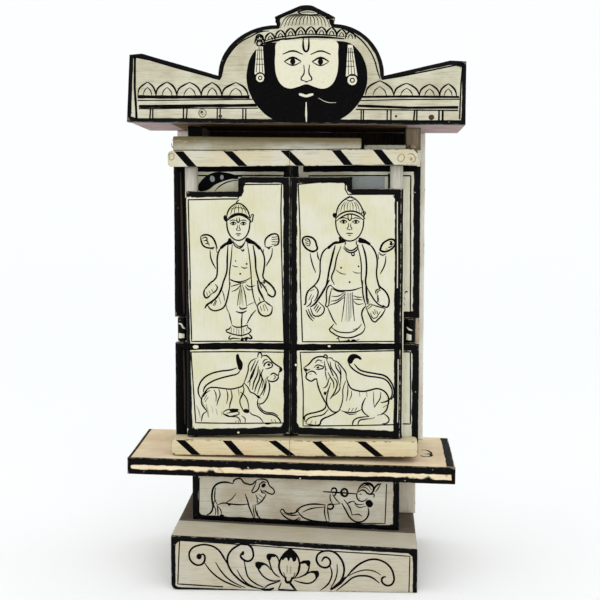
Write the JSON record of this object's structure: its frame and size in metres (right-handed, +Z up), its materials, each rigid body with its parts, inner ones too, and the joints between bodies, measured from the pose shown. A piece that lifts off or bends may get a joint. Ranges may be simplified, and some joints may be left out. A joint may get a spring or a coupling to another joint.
{
  "type": "folding shrine box",
  "caption": "Painted wooden folding shrine box with hinged leaves and front doors on a stepped base, under a domed crest.",
  "frame": {"origin": "on the underside of the base block, on the middle line of the box and half way between the block's front and back", "axes": "+Z up, +X to the right seen from the front, -Y out of the painted front"},
  "size_m": [0.2334, 0.14, 0.3952],
  "materials": {
    "painted_wood": "matt cream distemper over soft wood, yellowed and rubbed through at the edges",
    "bare_wood": "unpainted sawn wood, greyed and darkened by handling",
    "rod_wood": "rubbed dark hardwood rod",
    "black_paint": "hand-brushed black paint, slightly glossy, chipped in places",
    "nail_iron": "small hand-driven nails with a rust bloom"
  },
  "bodies": {
    "box": {"base_block": "painted_wood", "riser_front": "painted_wood", "riser_back": "bare_wood", "riser_left": "bare_wood", "riser_right": "bare_wood", "shelf": "bare_wood", "back_board": "bare_wood", "roof_board": "bare_wood", "crest": "painted_wood", "side_board_left": "bare_wood", "side_board_right": "bare_wood", "hinge_rod_left": "rod_wood", "hinge_rod_right": "rod_wood"},
    "left_leaf": {"leaf_left": "painted_wood", "top_bar_left": "painted_wood", "lower_bar_left": "painted_wood", "cap_strip": "painted_wood"},
    "right_leaf": {"leaf_right": "painted_wood", "top_bar_right": "painted_wood", "lower_bar_right": "painted_wood"},
    "left_door": {"front_door_left": "painted_wood"},
    "right_door": {"front_door_right": "painted_wood"}
  },
  "joints": [
    {"name": "left_leaf_hinge", "type": "hinge", "parent": "box", "child": "left_leaf", "pos_m": [-0.0815, -0.004, 0.19], "axis": [0, 0, -1], "range_deg": [0, 95]},
    {"name": "right_leaf_hinge", "type": "hinge", "parent": "box", "child": "right_leaf", "pos_m": [0.0804, -0.004, 0.19], "axis": [0, 0, 1], "range_deg": [0, 95]},
    {"name": "left_door_pin", "type": "hinge", "parent": "left_leaf", "child": "left_door", "pos_m": [-0.0731, -0.0145, 0.19], "axis": [0, 0, -1], "range_deg": [0, 165]},
    {"name": "right_door_pin", "type": "hinge", "parent": "right_leaf", "child": "right_door", "pos_m": [0.0696, -0.0145, 0.19], "axis": [0, 0, 1], "range_deg": [0, 165]}
  ]
}
